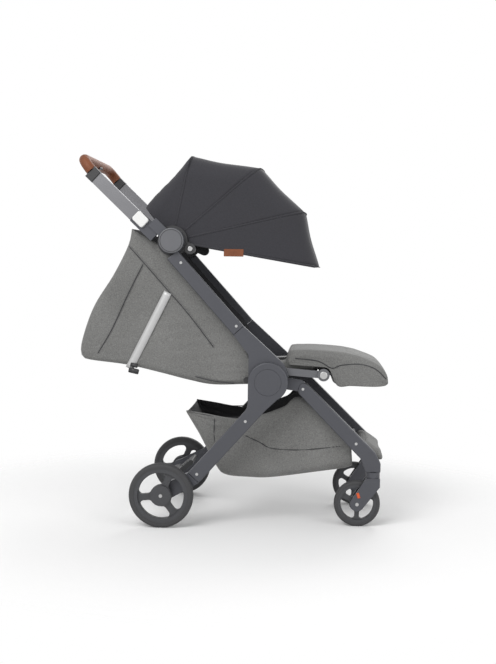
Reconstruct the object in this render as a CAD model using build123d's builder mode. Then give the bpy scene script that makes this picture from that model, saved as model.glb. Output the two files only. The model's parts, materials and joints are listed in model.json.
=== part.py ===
from build123d import *

import os
from math import atan2, cos, degrees, hypot, radians, sin

os.makedirs("parts", exist_ok=True)

# Driving dimensions, in millimetres. X points forward, Y to the stroller's left, Z up.
# Points of the side profile are (x, z) pairs.
HUB = (106, 415)
HUB_RADIUS = 56
HINGE = (-172, 809)
DISC_RADIUS = 36
REAR_RADIUS = 91.5
REAR_TYRE_WIDTH = 27
REAR_AXLE_X = -190
REAR_WHEEL_Y = 233.5
FRONT_RADIUS = 66
FRONT_TYRE_WIDTH = 24
CASTER_X = 408
CASTER_TRAIL = 44
CASTER_Y = 147
REAR_AXLE = (REAR_AXLE_X, REAR_RADIUS)
FRONT_AXLE = (CASTER_X - CASTER_TRAIL, FRONT_RADIUS)
SIDES = (("right", -1), ("left", 1))

# Layers of each side, as distances from the middle plane
FRONT_LEG_Y = (134, 164)
RAIL_Y = (170, 181)
TUBE_Y = (184, 202)
LEG_Y = (202.4, 217)
LEG_BEAM_INNER_Y = 190
RING_Y = (178.4, 183.7)
CAP_Y = (202.4, 214)

# Clearances
RUN = 0.05
GAP = 0.3
SOFT_GAP = 0.6

# Frame tubes
TUBE_WIDTH = 38
TUBE_ANGLE = -47.9
TUBE_OFFSET = -25
HANDLE_ANGLE = 136.4
HANDLE_OFFSET = 22
SLIDER_WIDTH = 37
SLIDER_THICKNESS = 15
HANDLE_WALL = 1.4
GRIP_RADIUS = 15.5
EDGE = 3

# Seat
RECLINE = (HUB[0] - 62, HUB[1] + 2)
LEGREST_BUTTON_RADIUS = 11
CROSS_TUBE_RADIUS = 9
LEGREST_HINGE = (262, 436)
LEGREST_HALF_WIDTH = 128
SEAT_HALF_WIDTH = 128
FRONT_ROLL = 44
BUCKLE_FORWARD = 84
BUCKLE_LENGTH = 46
BUCKLE_WIDTH = 48
BUCKLE_THICKNESS = 14
BACK_HALF_WIDTH = 150
BACK_LENGTH = 440
BACK_ANGLE = 171
FABRIC = 2
SHELL_Y = 177.5

# Canopy: angle and reach of each bow about the hinge
BOWS = ((79, 248), (41, 322), (13.3, 380), (-9.4, 418))
BOW_WIDTH = 9
BOW_THICKNESS = 3
CANOPY_Y = 178
BOW_OUTER_Y = CANOPY_Y - FABRIC - SOFT_GAP
BOW_DROP = FABRIC + 0.8


def side_plane(side, y):
    """Plane of the side profile, y from the middle on one side."""
    return Plane.XZ.offset(-side * y)


def outward(side, thickness):
    """Extrusion that grows away from the middle plane."""
    return -side * thickness


def along(start, angle, distance, offset=0):
    """Point at a distance from start towards angle, then offset to the left of that line."""
    turn = radians(angle)
    return (
        start[0] + distance * cos(turn) - offset * sin(turn),
        start[1] + distance * sin(turn) + offset * cos(turn),
    )


def heading(start, end):
    """Angle in degrees of the line from start to end."""
    return degrees(atan2(end[1] - start[1], end[0] - start[0]))


def span(start, end):
    """Distance between two profile points."""
    return hypot(end[0] - start[0], end[1] - start[1])


def middle(start, end):
    """Point halfway between two profile points."""
    return ((start[0] + end[0]) / 2, (start[1] + end[1]) / 2)


def bar(start, end, width, mode=Mode.ADD):
    """Slot from start to end inside the current sketch."""
    with Locations(middle(start, end)):
        SlotCenterToCenter(span(start, end), width, rotation=heading(start, end), mode=mode)


def beam(start, end, width, mode=Mode.ADD):
    """Square-ended strip from start to end inside the current sketch."""
    with Locations(middle(start, end)):
        Rectangle(span(start, end), width, rotation=heading(start, end), mode=mode)


def disc(centre, radius, mode=Mode.ADD):
    """Circle inside the current sketch."""
    with Locations(centre):
        Circle(radius, mode=mode)


def rounded(points, radius):
    """Closed outline with rounded corners inside the current sketch."""
    with BuildLine() as line:
        FilletPolyline(*points, radius=radius, close=True)
    make_face(line.edges())


def soften(radius):
    """Round the edges of the faces that look sideways in the current part."""
    part = BuildPart._get_context()
    fillet(part.faces().filter_by(Axis.Y).edges(), radius)


def save(piece, name):
    """Label a finished piece and write its STEP file."""
    piece.part.label = name
    export_step(piece.part, f"parts/{name}.step")


def cross_rod(centre, radius, half_width, bore=0):
    """Round rod across the stroller about the middle plane."""
    with BuildPart() as rod:
        with BuildSketch(Plane.XZ.offset(-half_width)):
            disc(centre, radius)
            if bore:
                disc(centre, bore, Mode.SUBTRACT)
        extrude(amount=2 * half_width)
    return rod


# Wheels

SPOKES = 3
AXLE_RADIUS = 5


def wheel(centre, radius, width, y, first_spoke, side):
    """Spoked wheel with a hub barrel and a bore for its axle."""
    rim = 0.84 * radius
    rim_inner = 0.72 * radius
    hub = 0.32 * radius
    spoke_width = 0.2 * radius
    spoke_thickness = 0.5 * width
    with BuildPart() as body:
        with BuildSketch(side_plane(side, y - width / 2 + 1)):
            disc(centre, rim)
            disc(centre, rim_inner, Mode.SUBTRACT)
        extrude(amount=outward(side, width - 2))
        with BuildSketch(side_plane(side, y - width / 2 - 1)):
            disc(centre, hub)
        extrude(amount=outward(side, width))
        with BuildSketch(side_plane(side, y - spoke_thickness / 2)):
            disc(centre, rim_inner + 1)
            disc(centre, hub - 1, Mode.SUBTRACT)
            for turn in range(SPOKES):
                angle = first_spoke + turn * 360 / SPOKES
                opening(centre, hub, rim_inner, angle, spoke_width)
        extrude(amount=outward(side, spoke_thickness))
        with BuildSketch(side_plane(side, y - width)):
            disc(centre, AXLE_RADIUS + RUN)
        extrude(amount=outward(side, 2 * width), mode=Mode.SUBTRACT)
    return body


def opening(centre, inner, outer, angle, spoke_width):
    """Rounded window between the spoke at angle and the next one, cut from the current sketch."""
    step = 360 / SPOKES
    corner = 0.3 * (outer - inner)
    edge = spoke_width / 2
    start = [along(centre, angle, reach, edge) for reach in (inner + 1, outer - 1)]
    end = [along(centre, angle + step, reach, -edge) for reach in (outer - 1, inner + 1)]
    inner_arc = along(centre, angle + step / 2, inner + 1)
    outer_arc = along(centre, angle + step / 2, outer - 1)
    with BuildSketch() as window:
        with BuildLine():
            Line(start[0], start[1])
            ThreePointArc(start[1], outer_arc, end[0])
            Line(end[0], end[1])
            ThreePointArc(end[1], inner_arc, start[0])
        make_face()
        fillet(window.vertices(), corner)
    add(window.sketch, mode=Mode.SUBTRACT)


def tyre(centre, radius, width, y, side):
    """Solid rubber tyre with a rounded tread."""
    inner = 0.84 * radius
    crown = min(width / 3, 0.45 * (radius - inner) + 3)
    with BuildPart() as ring:
        with BuildSketch(side_plane(side, y - width / 2)):
            disc(centre, radius)
            disc(centre, inner, Mode.SUBTRACT)
        extrude(amount=outward(side, width))
        treads = ring.edges().filter_by(GeomType.CIRCLE).sort_by(SortBy.RADIUS)[-2:]
        fillet(treads, crown)
    return ring


def make_wheels():
    for name, side in SIDES:
        save(wheel(REAR_AXLE, REAR_RADIUS, REAR_TYRE_WIDTH, REAR_WHEEL_Y, 67, side), f"rear_wheel_{name}")
        save(tyre(REAR_AXLE, REAR_RADIUS, REAR_TYRE_WIDTH, REAR_WHEEL_Y, side), f"rear_tyre_{name}")
        save(wheel(FRONT_AXLE, FRONT_RADIUS, FRONT_TYRE_WIDTH, CASTER_Y, 30, side), f"front_wheel_{name}")
        save(tyre(FRONT_AXLE, FRONT_RADIUS, FRONT_TYRE_WIDTH, CASTER_Y, side), f"front_tyre_{name}")


# Rear frame: legs with round hub heads, axle and brake

LEG_WIDTH = 42
REAR_NECK = (HUB[0] - 27, HUB[1] - 72)
REAR_FOOT = along(REAR_AXLE, 28, 100)
REAR_LEG_ANGLE = heading(REAR_NECK, REAR_FOOT)
HUB_FACE_RADIUS = 38
HUB_FACE_DEPTH = 1.2
PIN_RADIUS = 8
HUB_BOSS_RADIUS = 15
AXLE_TUBE_RADIUS = 11
FOOT_RADIUS = 24
SCREW_RADIUS = 4
SCREW_HEIGHT = 1.6


def rear_leg_outline():
    left = LEG_WIDTH / 2
    neck_left = along(REAR_NECK, REAR_LEG_ANGLE, 0, -left)
    neck_right = along(REAR_NECK, REAR_LEG_ANGLE, 0, left)
    points = (
        (HUB[0] - HUB_RADIUS, HUB[1]),
        (HUB[0] - HUB_RADIUS, HUB[1] - HUB_RADIUS - 18),
        along(REAR_FOOT, REAR_LEG_ANGLE, 0, -left),
        along(REAR_FOOT, REAR_LEG_ANGLE, 0, left),
        along(neck_right, REAR_LEG_ANGLE, -8),
        along(HUB, -36, HUB_RADIUS - 1),
        HUB,
    )
    rounded(points, (0, 40, 4, 4, 30, 0, 0))
    disc(HUB, HUB_RADIUS)


def make_rear_legs():
    with BuildPart() as leg:
        for name, side in SIDES:
            with BuildSketch(side_plane(side, LEG_Y[0])):
                rear_leg_outline()
            extrude(amount=outward(side, LEG_Y[1] - LEG_Y[0]))
            with BuildSketch(side_plane(side, LEG_BEAM_INNER_Y)):
                beam(along(REAR_NECK, REAR_LEG_ANGLE, 24), REAR_FOOT, LEG_WIDTH - 2)
            extrude(amount=outward(side, LEG_Y[0] - LEG_BEAM_INNER_Y + 1))
            face = leg.faces().filter_by(Axis.Y).sort_by(Axis.Y)[0 if side < 0 else -1]
            fillet(face.outer_wire().edges(), EDGE)
            with BuildSketch(side_plane(side, LEG_Y[1] - HUB_FACE_DEPTH)):
                disc(HUB, HUB_FACE_RADIUS)
            extrude(amount=outward(side, 2 * HUB_FACE_DEPTH), mode=Mode.SUBTRACT)
            with BuildSketch(side_plane(side, LEG_Y[0] - 1)):
                disc(HUB, PIN_RADIUS + RUN)
            extrude(amount=outward(side, LEG_Y[1]), mode=Mode.SUBTRACT)
    save(leg, "rear_legs")


def make_hub_caps():
    with BuildPart() as cap:
        for name, side in SIDES:
            with BuildSketch(side_plane(side, LEG_Y[1] - HUB_FACE_DEPTH)):
                disc(HUB, HUB_FACE_RADIUS - 0.8)
            extrude(amount=outward(side, HUB_FACE_DEPTH + 0.6))
        soften(0.5)
    save(cap, "hub_caps")


def make_axle_housings():
    """Suspension arm from the foot of the rear leg to the axle."""
    with BuildPart() as arm:
        for name, side in SIDES:
            with BuildSketch(side_plane(side, LEG_BEAM_INNER_Y)):
                disc(REAR_AXLE, FOOT_RADIUS)
                tip = along(REAR_FOOT, REAR_LEG_ANGLE, GAP)
                toe = along(REAR_FOOT, REAR_LEG_ANGLE, LEG_WIDTH * 0.55, LEG_WIDTH * 0.32)
                half = LEG_WIDTH / 2
                with BuildLine():
                    Polyline(
                        along(tip, REAR_LEG_ANGLE, 0, -half),
                        along(tip, REAR_LEG_ANGLE, 0, half),
                        toe,
                        (REAR_AXLE[0] + 10, REAR_AXLE[1] - FOOT_RADIUS + 3),
                        (REAR_AXLE[0] - 8, REAR_AXLE[1] + FOOT_RADIUS - 3),
                        close=True,
                    )
                make_face()
            extrude(amount=outward(side, LEG_Y[1] - LEG_BEAM_INNER_Y - 0.5))
            face = arm.faces().filter_by(Axis.Y).sort_by(Axis.Y)[0 if side < 0 else -1]
            fillet(face.outer_wire().edges(), 1.5)
            with BuildSketch(side_plane(side, 0)):
                disc(REAR_AXLE, AXLE_TUBE_RADIUS)
            extrude(amount=outward(side, LEG_Y[0]), mode=Mode.SUBTRACT)
            with BuildSketch(side_plane(side, 0)):
                disc(REAR_AXLE, AXLE_RADIUS)
            extrude(amount=outward(side, LEG_Y[1] * 2), mode=Mode.SUBTRACT)
    save(arm, "axle_housings")


def make_rear_axle():
    """Cross tube with a solid spindle through both wheels."""
    with BuildPart() as axle:
        with BuildSketch(Plane.XZ.offset(-LEG_Y[0])):
            disc(REAR_AXLE, AXLE_TUBE_RADIUS)
        extrude(amount=2 * LEG_Y[0])
        with BuildSketch(Plane.XZ.offset(-REAR_WHEEL_Y - REAR_TYRE_WIDTH / 2)):
            disc(REAR_AXLE, AXLE_RADIUS)
        extrude(amount=2 * REAR_WHEEL_Y + REAR_TYRE_WIDTH)
    save(axle, "rear_axle")


def screws(points, inner_y, height=SCREW_HEIGHT, radius=SCREW_RADIUS):
    """Domed rivet heads on both sides, as separate solids."""
    with BuildPart() as heads:
        for name, side in SIDES:
            with BuildSketch(side_plane(side, inner_y)):
                for point in points:
                    disc(point, radius)
            extrude(amount=outward(side, height))
    return heads


def make_rear_small_parts():
    rivets = (along(REAR_NECK, REAR_LEG_ANGLE, 52), along(REAR_FOOT, REAR_LEG_ANGLE, -16))
    save(screws(rivets, LEG_Y[1]), "rear_leg_rivets")
    with BuildPart() as pins:
        for name, side in SIDES:
            with BuildSketch(side_plane(side, FRONT_LEG_Y[0] - 4)):
                disc(HUB, PIN_RADIUS)
            extrude(amount=outward(side, LEG_Y[1] - HUB_FACE_DEPTH - FRONT_LEG_Y[0] + 4))
            with BuildSketch(side_plane(side, FRONT_LEG_Y[0] - 6)):
                disc(HUB, PIN_RADIUS + 6)
            extrude(amount=outward(side, 6 - GAP))
    save(pins, "hub_pins")


# Brake

PEDAL_Y = (52, 150)
PEDAL_REACH = 66


def make_brake_pedal():
    """Pedal with a ribbed tread on a collar about the axle tube."""
    tread = along(REAR_AXLE, 40, PEDAL_REACH)
    with BuildPart() as pedal:
        with BuildSketch(side_plane(1, PEDAL_Y[0])):
            disc(REAR_AXLE, AXLE_TUBE_RADIUS + 6)
            bar(REAR_AXLE, tread, 14)
            disc(REAR_AXLE, AXLE_TUBE_RADIUS + RUN, Mode.SUBTRACT)
        extrude(amount=outward(1, PEDAL_Y[1] - PEDAL_Y[0]))
        with BuildSketch(side_plane(1, PEDAL_Y[0] + 10)):
            for rib in range(4):
                disc(along(REAR_AXLE, 40, 36 + rib * 9, 7), 2)
        extrude(amount=outward(1, PEDAL_Y[1] - PEDAL_Y[0] - 20))
    save(pedal, "brake_pedal")


# Front frame: legs, foot panel, sockets, casters

FRONT_TOP = (HUB[0] + 84, HUB[1] - 8)
FRONT_KNEE = (CASTER_X - 6, 196)
FRONT_LEG_ANGLE = heading(FRONT_TOP, FRONT_KNEE)
FRONT_LEG_WIDTH = 42
SOCKET_TOP = 158
SOCKET_BOTTOM = 141
SOCKET_RADIUS = 21
STEM_RADIUS = 7
FORK_Y = (FRONT_TYRE_WIDTH / 2 + 2.6, FRONT_TYRE_WIDTH / 2 + 9)
FORK_END_RADIUS = 20
CROWN_Z = FRONT_AXLE[1] + FRONT_RADIUS + 4


def front_leg_outline():
    half = FRONT_LEG_WIDTH / 2
    points = (
        along(FRONT_TOP, FRONT_LEG_ANGLE, -4, half - 3),
        along(FRONT_KNEE, FRONT_LEG_ANGLE, -4, half),
        (CASTER_X + SOCKET_RADIUS, SOCKET_TOP + 26),
        (CASTER_X + SOCKET_RADIUS, SOCKET_TOP),
        (CASTER_X - SOCKET_RADIUS, SOCKET_TOP),
        along(FRONT_KNEE, FRONT_LEG_ANGLE, -22, -half),
        along(FRONT_TOP, FRONT_LEG_ANGLE, 14, -half + 3),
    )
    rounded(points, (16, 30, 10, 4, 4, 8, 16))


def make_front_legs():
    """Front legs, each with a thinner arm that turns on the hub pin."""
    arm_start = FRONT_LEG_Y[0] + EDGE
    arm_end = FRONT_LEG_Y[1] - EDGE
    with BuildPart() as leg:
        for name, side in SIDES:
            with BuildSketch(side_plane(side, FRONT_LEG_Y[0])):
                front_leg_outline()
            extrude(amount=outward(side, FRONT_LEG_Y[1] - FRONT_LEG_Y[0]))
            face = leg.faces().filter_by(Axis.Y).sort_by(Axis.Y)[0 if side < 0 else -1]
            fillet(face.outer_wire().edges(), EDGE)
            with BuildSketch(side_plane(side, arm_start)):
                bar(HUB, along(FRONT_TOP, FRONT_LEG_ANGLE, 6), FRONT_LEG_WIDTH - 8)
                disc(HUB, PIN_RADIUS + RUN, Mode.SUBTRACT)
            extrude(amount=outward(side, arm_end - arm_start))
            with BuildSketch(side_plane(side, arm_end - 1)):
                disc(HUB, HUB_BOSS_RADIUS)
                disc(HUB, PIN_RADIUS + RUN, Mode.SUBTRACT)
            extrude(amount=outward(side, TUBE_Y[0] - GAP - arm_end + 1))
    save(leg, "front_legs")


def make_sockets():
    """Round caster socket with the swivel bore."""
    with BuildPart() as socket:
        for name, side in SIDES:
            with BuildSketch(Plane.XY.offset(SOCKET_BOTTOM + GAP)):
                disc((CASTER_X, side * CASTER_Y), SOCKET_RADIUS - 1)
                disc((CASTER_X, side * CASTER_Y), STEM_RADIUS + RUN, Mode.SUBTRACT)
            extrude(amount=SOCKET_TOP - SOCKET_BOTTOM - GAP)
    save(socket, "caster_sockets")


def make_caster_fork(name, side):
    """Crown, stem and two arms that hold the front wheel."""
    crown_low = (CASTER_X - 16, CROWN_Z + 10)
    with BuildPart() as fork:
        for low, high in ((-FORK_Y[1], -FORK_Y[0]), (FORK_Y[0], FORK_Y[1])):
            with BuildSketch(Plane.XZ.offset(-side * CASTER_Y - low)):
                disc(FRONT_AXLE, FORK_END_RADIUS)
                with Locations((CASTER_X, SOCKET_BOTTOM - 12)):
                    Rectangle(2 * SOCKET_RADIUS - 2, 24)
                make_hull()
                disc(FRONT_AXLE, AXLE_RADIUS, Mode.SUBTRACT)
            extrude(amount=low - high)
        with BuildSketch(Plane.XY.offset(CROWN_Z)):
            disc((CASTER_X, side * CASTER_Y), SOCKET_RADIUS - 1)
        extrude(amount=SOCKET_BOTTOM - CROWN_Z)
        with BuildSketch(Plane.XY.offset(CROWN_Z)):
            disc((CASTER_X, side * CASTER_Y), STEM_RADIUS)
        extrude(amount=SOCKET_TOP - CROWN_Z - 2)
    save(fork, f"caster_fork_{name}")


def make_front_axle(name, side):
    """Wheel pin with a release mark at each end."""
    reach = FORK_Y[1] + 1
    with BuildPart() as pin:
        with BuildSketch(Plane.XZ.offset(-side * CASTER_Y - reach)):
            disc(FRONT_AXLE, AXLE_RADIUS)
        extrude(amount=2 * reach)
    save(pin, f"front_axle_{name}")


def make_foot_panel():
    """Padded cross panel between the front legs above the casters."""
    start = along(FRONT_KNEE, FRONT_LEG_ANGLE, -42, 8)
    end = along(FRONT_KNEE, FRONT_LEG_ANGLE, 22, 20)
    with BuildPart() as panel:
        with BuildSketch(Plane.XZ.offset(-FRONT_LEG_Y[0] + GAP)):
            bar(start, end, 16)
        extrude(amount=2 * (FRONT_LEG_Y[0] - GAP))
    save(panel, "foot_panel")
    centre = along(FRONT_KNEE, FRONT_LEG_ANGLE, -60, -4)
    save(cross_rod(centre, 8, FRONT_LEG_Y[0]), "front_cross_tube")


def make_front_small_parts():
    rivets = (along(FRONT_TOP, FRONT_LEG_ANGLE, 20), along(FRONT_KNEE, FRONT_LEG_ANGLE, -62))
    save(screws(rivets, FRONT_LEG_Y[1]), "front_leg_rivets")



# Upper frame: side tubes, hub casings, seat rails, cross tubes

TUBE_TOP = along(HINGE, TUBE_ANGLE, 30, TUBE_OFFSET)
TUBE_LENGTH = 285


def make_side_tubes():
    """Side tubes with the lower half of the handle hinge at their tops."""
    thickness = TUBE_Y[1] - TUBE_Y[0]
    with BuildPart() as tubes:
        for name, side in SIDES:
            with BuildSketch(side_plane(side, TUBE_Y[0])):
                beam(TUBE_TOP, along(TUBE_TOP, TUBE_ANGLE, TUBE_LENGTH), TUBE_WIDTH)
            extrude(amount=outward(side, thickness))
        soften(EDGE)
        for name, side in SIDES:
            with BuildSketch(side_plane(side, TUBE_Y[0])):
                disc(HINGE, DISC_RADIUS)
            extrude(amount=outward(side, thickness))
            with BuildSketch(side_plane(side, TUBE_Y[0] - 1)):
                disc(HINGE, PIN_RADIUS + RUN)
            extrude(amount=outward(side, thickness + 2), mode=Mode.SUBTRACT)
    save(tubes, "side_tubes")


def make_hub_casings():
    """Casing that carries the side tube to the hub."""
    top = along(TUBE_TOP, TUBE_ANGLE, TUBE_LENGTH + GAP)
    half = TUBE_WIDTH / 2
    points = (
        along(top, TUBE_ANGLE, 0, half),
        (HUB[0] + 44, HUB[1] + 52),
        (HUB[0] + HUB_RADIUS, HUB[1] + 22),
        (HUB[0] + HUB_RADIUS, HUB[1]),
        HUB,
        (HUB[0] - HUB_RADIUS, HUB[1]),
        (HUB[0] - HUB_RADIUS, HUB[1] + 76),
        along(top, TUBE_ANGLE, 0, -half),
    )
    with BuildPart() as casing:
        for name, side in SIDES:
            with BuildSketch(side_plane(side, TUBE_Y[0])):
                rounded(points, (0, 20, 14, 0, 0, 0, 20, 0))
                disc(HUB, HUB_RADIUS - 1)
                disc(HUB, PIN_RADIUS + RUN, Mode.SUBTRACT)
            extrude(amount=outward(side, TUBE_Y[1] - TUBE_Y[0]))
    save(casing, "hub_casings")


def make_upper_small_parts():
    rivets = (along(TUBE_TOP, TUBE_ANGLE, 34, 4), along(TUBE_TOP, TUBE_ANGLE, TUBE_LENGTH - 14, 4))
    save(screws(rivets, TUBE_Y[1]), "side_tube_rivets")
    save(cross_rod(RECLINE, CROSS_TUBE_RADIUS, TUBE_Y[0]), "recline_tube")
    save(cross_rod(LEGREST_HINGE, CROSS_TUBE_RADIUS, RAIL_Y[1] + 1), "legrest_tube")
    with BuildPart() as rings:
        for name, side in SIDES:
            with BuildSketch(side_plane(side, RING_Y[0])):
                disc(HINGE, DISC_RADIUS + 7)
                bar(HINGE, along(HINGE, -23, 56), 30)
            extrude(amount=outward(side, TUBE_Y[0] - RING_Y[0]))
            with BuildSketch(side_plane(side, TUBE_Y[0])):
                disc(along(HINGE, -23, 56), 15)
            extrude(amount=outward(side, 6))
            low = bow_layer(len(BOWS)) - 2
            with BuildSketch(side_plane(side, low)):
                disc(HINGE, 4)
            extrude(amount=outward(side, RING_Y[0] - low))
    save(rings, "canopy_mounts")
    with BuildPart() as buttons:
        for name, side in SIDES:
            with BuildSketch(side_plane(side, TUBE_Y[0] + 6)):
                disc(along(HINGE, -23, 56), 7)
            extrude(amount=outward(side, 3))
            soften(1)
    save(buttons, "canopy_studs")


def make_seat_rails():
    """Short rail from the hub casing to the leg rest pivot, with its round boss."""
    with BuildPart() as rail:
        for name, side in SIDES:
            with BuildSketch(side_plane(side, RAIL_Y[0])):
                bar((HUB[0] + 36, HUB[1] + 30), LEGREST_HINGE, 20)
                disc(LEGREST_HINGE, 17)
                disc(LEGREST_HINGE, CROSS_TUBE_RADIUS, Mode.SUBTRACT)
            extrude(amount=outward(side, RAIL_Y[1] - RAIL_Y[0]))
            with BuildSketch(side_plane(side, RAIL_Y[1] - 1)):
                disc((HUB[0] + 36, HUB[1] + 30), 9)
            extrude(amount=outward(side, TUBE_Y[0] - RAIL_Y[1] + 1))
            with BuildSketch(side_plane(side, RAIL_Y[1] - 1)):
                disc(LEGREST_HINGE, 17)
                disc(LEGREST_HINGE, LEGREST_BUTTON_RADIUS + 0.1, Mode.SUBTRACT)
            extrude(amount=outward(side, 9))
    save(rail, "seat_rails")


# Handle

HANDLE_TOP = along(HINGE, HANDLE_ANGLE, 124, HANDLE_OFFSET)
SLIDER_TOP = along(HINGE, HANDLE_ANGLE, 276, HANDLE_OFFSET)
SLIDER_BOTTOM = along(HINGE, HANDLE_ANGLE, 104, HANDLE_OFFSET)
HANDLE_Y = (TUBE_Y[0] + TUBE_Y[1]) / 2
GRIP_CORNER = (-429, 1037)
GRIP_BEND = 38
CONNECTOR = 26
BUTTON_ANGLE = -40
BUTTON_RADIUS = 4
BUTTON_HALF_WIDTH = 18


def make_handle_sections():
    """Hollow upper half of the handle hinge that the sliding tube enters."""
    start = along(HINGE, HANDLE_ANGLE, DISC_RADIUS + 6, HANDLE_OFFSET)
    inner = SLIDER_WIDTH + 2 * RUN
    with BuildPart() as section:
        for name, side in SIDES:
            with BuildSketch(side_plane(side, TUBE_Y[0])):
                beam(start, HANDLE_TOP, TUBE_WIDTH + 2)
            extrude(amount=outward(side, TUBE_Y[1] - TUBE_Y[0]))
            with BuildSketch(side_plane(side, CAP_Y[0])):
                disc(HINGE, DISC_RADIUS)
                beam(HINGE, along(HINGE, HANDLE_ANGLE, 76), 30)
            extrude(amount=outward(side, 4))
            with BuildSketch(side_plane(side, TUBE_Y[1] - 1)):
                beam(along(HINGE, HANDLE_ANGLE, DISC_RADIUS + 8, 6), along(HINGE, HANDLE_ANGLE, 76, 6), 18)
            extrude(amount=outward(side, 2))
            with BuildSketch(side_plane(side, HANDLE_Y - SLIDER_THICKNESS / 2 - RUN)):
                beam(along(start, HANDLE_ANGLE, 4), along(HANDLE_TOP, HANDLE_ANGLE, 5), inner)
            extrude(amount=outward(side, SLIDER_THICKNESS + 2 * RUN), mode=Mode.SUBTRACT)
            with BuildSketch(side_plane(side, CAP_Y[0] - 1)):
                disc(HINGE, PIN_RADIUS)
            extrude(amount=outward(side, 8), mode=Mode.SUBTRACT)
    save(section, "handle_sections")


def make_hinge_caps():
    """Round cap over the handle hinge with its pin."""
    with BuildPart() as cap:
        for name, side in SIDES:
            with BuildSketch(side_plane(side, CAP_Y[0] + 4)):
                disc(HINGE, DISC_RADIUS - 0.5)
            extrude(amount=outward(side, CAP_Y[1] - CAP_Y[0] - 4))
            face = cap.faces().sort_by(Axis.Y)[0 if side < 0 else -1]
            fillet(face.edges(), 3)
            with BuildSketch(side_plane(side, TUBE_Y[0])):
                disc(HINGE, PIN_RADIUS)
            extrude(amount=outward(side, CAP_Y[0] + 4 - TUBE_Y[0]))
    save(cap, "hinge_caps")


def make_sliders():
    """Flat oval tube that telescopes into the handle section."""
    with BuildPart() as slider:
        for name, side in SIDES:
            with BuildSketch(side_plane(side, HANDLE_Y - SLIDER_THICKNESS / 2)):
                beam(SLIDER_BOTTOM, SLIDER_TOP, SLIDER_WIDTH)
            extrude(amount=outward(side, SLIDER_THICKNESS))
            with BuildSketch(side_plane(side, HANDLE_Y - SLIDER_THICKNESS / 2 + HANDLE_WALL)):
                beam(along(SLIDER_BOTTOM, HANDLE_ANGLE, -5), SLIDER_TOP, SLIDER_WIDTH - 2 * HANDLE_WALL)
            extrude(amount=outward(side, SLIDER_THICKNESS - 2 * HANDLE_WALL), mode=Mode.SUBTRACT)
    save(slider, "handle_sliders")


def make_connectors():
    """Plastic joint between the sliding tube and the grip bow."""
    with BuildPart() as joint:
        for name, side in SIDES:
            with BuildSketch(side_plane(side, HANDLE_Y - 11)):
                beam(SLIDER_TOP, along(SLIDER_TOP, HANDLE_ANGLE, CONNECTOR), SLIDER_WIDTH + 1)
            extrude(amount=outward(side, 22))
        soften(EDGE)
    save(joint, "handle_connectors")


def make_grip():
    """U-shaped padded grip bow."""
    start = along(SLIDER_TOP, HANDLE_ANGLE, CONNECTOR, -4)
    profile = Plane(origin=(start[0], HANDLE_Y, start[1]), z_dir=(
        GRIP_CORNER[0] - start[0], 0, GRIP_CORNER[1] - start[1]))
    with BuildPart() as grip:
        with BuildLine() as path:
            FilletPolyline(
                (start[0], HANDLE_Y, start[1]),
                (GRIP_CORNER[0], HANDLE_Y, GRIP_CORNER[1]),
                (GRIP_CORNER[0], -HANDLE_Y, GRIP_CORNER[1]),
                (start[0], -HANDLE_Y, start[1]),
                radius=GRIP_BEND,
            )
        with BuildSketch(profile):
            Circle(GRIP_RADIUS)
        sweep()
        with BuildSketch(Plane.XZ.offset(-BUTTON_HALF_WIDTH - 1)):
            deep = along(GRIP_CORNER, BUTTON_ANGLE, GRIP_RADIUS - 5)
            open_end = along(GRIP_CORNER, BUTTON_ANGLE, GRIP_RADIUS + 10)
            bar(deep, open_end, 2 * (BUTTON_RADIUS + GAP))
        extrude(amount=2 * BUTTON_HALF_WIDTH + 2, mode=Mode.SUBTRACT)
    save(grip, "handle_grip")


def make_lock_lever(name, side):
    """Flip lever over the telescoping joint."""
    start = along(HINGE, HANDLE_ANGLE, 84, HANDLE_OFFSET - 4)
    end = along(HINGE, HANDLE_ANGLE, 124, HANDLE_OFFSET - 4)
    with BuildPart() as lever:
        with BuildSketch(side_plane(side, TUBE_Y[1] + GAP)):
            with Locations(middle(start, end)):
                RectangleRounded(span(start, end), 32, 7, rotation=HANDLE_ANGLE)
        extrude(amount=outward(side, 10))
        face = lever.faces().sort_by(Axis.Y)[0 if side < 0 else -1]
        fillet(face.edges(), 3)
    save(lever, f"lock_lever_{name}")


def make_fold_button():
    """Fold release that sits in a pocket under the middle of the grip."""
    with BuildPart() as button:
        with BuildSketch(Plane.XZ.offset(-BUTTON_HALF_WIDTH)):
            disc(along(GRIP_CORNER, BUTTON_ANGLE, GRIP_RADIUS - 0.5), BUTTON_RADIUS)
        extrude(amount=2 * BUTTON_HALF_WIDTH)
    save(button, "fold_button")


# Seat

BOARD = 8
PAD = 18


def make_seat():
    start = (RECLINE[0] + 4, RECLINE[1] + CROSS_TUBE_RADIUS + BOARD / 2)
    end = (LEGREST_HINGE[0] - CROSS_TUBE_RADIUS - 9, LEGREST_HINGE[1] + BOARD / 2)
    angle = heading(start, end)
    with BuildPart() as board:
        with BuildSketch(Plane.XZ.offset(-SEAT_HALF_WIDTH)):
            beam(start, end, BOARD)
        extrude(amount=2 * SEAT_HALF_WIDTH)
    save(board, "seat_board")
    rise = BOARD / 2 + PAD / 2 + 0.4
    with BuildPart() as cushion:
        with BuildSketch(Plane.XZ.offset(-SEAT_HALF_WIDTH)):
            bar(along(start, angle, 34, rise), along(end, angle, -12, rise), PAD)
            roll = LEGREST_HINGE[1] + CROSS_TUBE_RADIUS + 5 + SOFT_GAP + FRONT_ROLL / 2
            beam((LEGREST_HINGE[0] - 104, roll), (LEGREST_HINGE[0] + 14, roll), FRONT_ROLL)
        extrude(amount=2 * SEAT_HALF_WIDTH)
    save(cushion, "seat_cushion")
    return start, end, angle


BACK_LIFT = CROSS_TUBE_RADIUS + 5
STRAP_HALF_WIDTH = 40


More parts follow.
